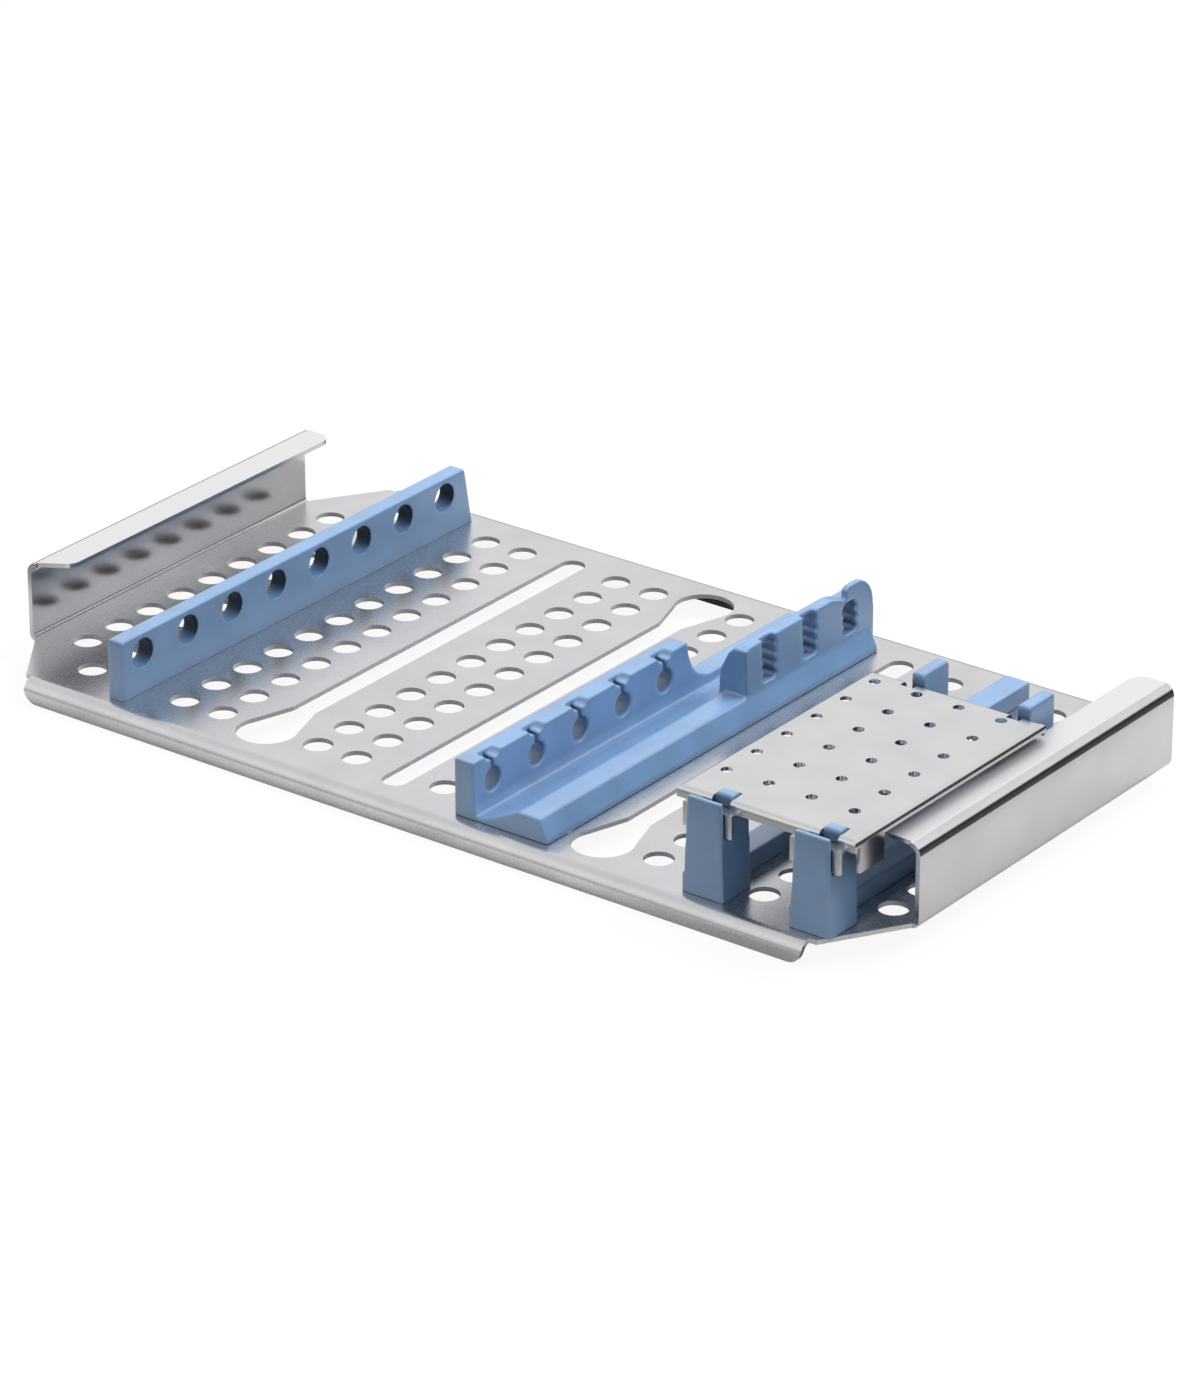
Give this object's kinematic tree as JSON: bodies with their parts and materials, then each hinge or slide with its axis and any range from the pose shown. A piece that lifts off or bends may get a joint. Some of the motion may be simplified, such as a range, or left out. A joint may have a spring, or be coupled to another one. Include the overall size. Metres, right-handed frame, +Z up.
{
  "type": "dental instrument cassette",
  "caption": "Open perforated steel tray with C-shaped end walls, blue silicone instrument rails across it and a small raised perforated rack that lifts off its posts.",
  "frame": {"origin": "centre of the footprint, on the table under the turned-down long edges", "axes": "+X along the length, towards the end with the raised rack; +Y across the tray, along the rails; +Z up"},
  "size_m": [0.2788, 0.1568, 0.034],
  "materials": {
    "tray_steel": "fine satin stainless steel",
    "rack_steel": "fine satin stainless steel",
    "stud_steel": "turned stainless steel",
    "blue_silicone": "matt moulded silicone"
  },
  "bodies": {
    "tray": {"base_tray": "tray_steel", "left_rail": "blue_silicone", "left_rail_stud_1": "stud_steel", "left_rail_stud_2": "stud_steel", "left_rail_stud_3": "stud_steel", "left_rail_stud_4": "stud_steel"},
    "middle_rail_set": {"middle_rail": "blue_silicone", "middle_rail_stud_1": "stud_steel", "middle_rail_stud_2": "stud_steel", "middle_rail_stud_3": "stud_steel", "middle_rail_stud_4": "stud_steel"},
    "rack_rails": {"rack_rail_left": "blue_silicone", "rack_rail_right": "blue_silicone", "rack_left_stud_1": "stud_steel", "rack_left_stud_2": "stud_steel", "rack_left_stud_3": "stud_steel", "rack_left_stud_4": "stud_steel", "rack_right_stud_1": "stud_steel", "rack_right_stud_2": "stud_steel", "rack_right_stud_3": "stud_steel", "rack_right_stud_4": "stud_steel"},
    "rack": {"rack_plate": "rack_steel"}
  },
  "joints": [
    {"name": "middle_rail_slide", "type": "slide", "parent": "tray", "child": "middle_rail_set", "axis": [0, 1, 0], "range_m": [-0.012, 0]},
    {"name": "rack_rails_slide", "type": "slide", "parent": "tray", "child": "rack_rails", "axis": [0, 1, 0], "range_m": [-0.002, 0.003]},
    {"name": "rack_lift", "type": "slide", "parent": "rack_rails", "child": "rack", "axis": [0, 0, 1], "range_m": [0, 0.04]}
  ]
}
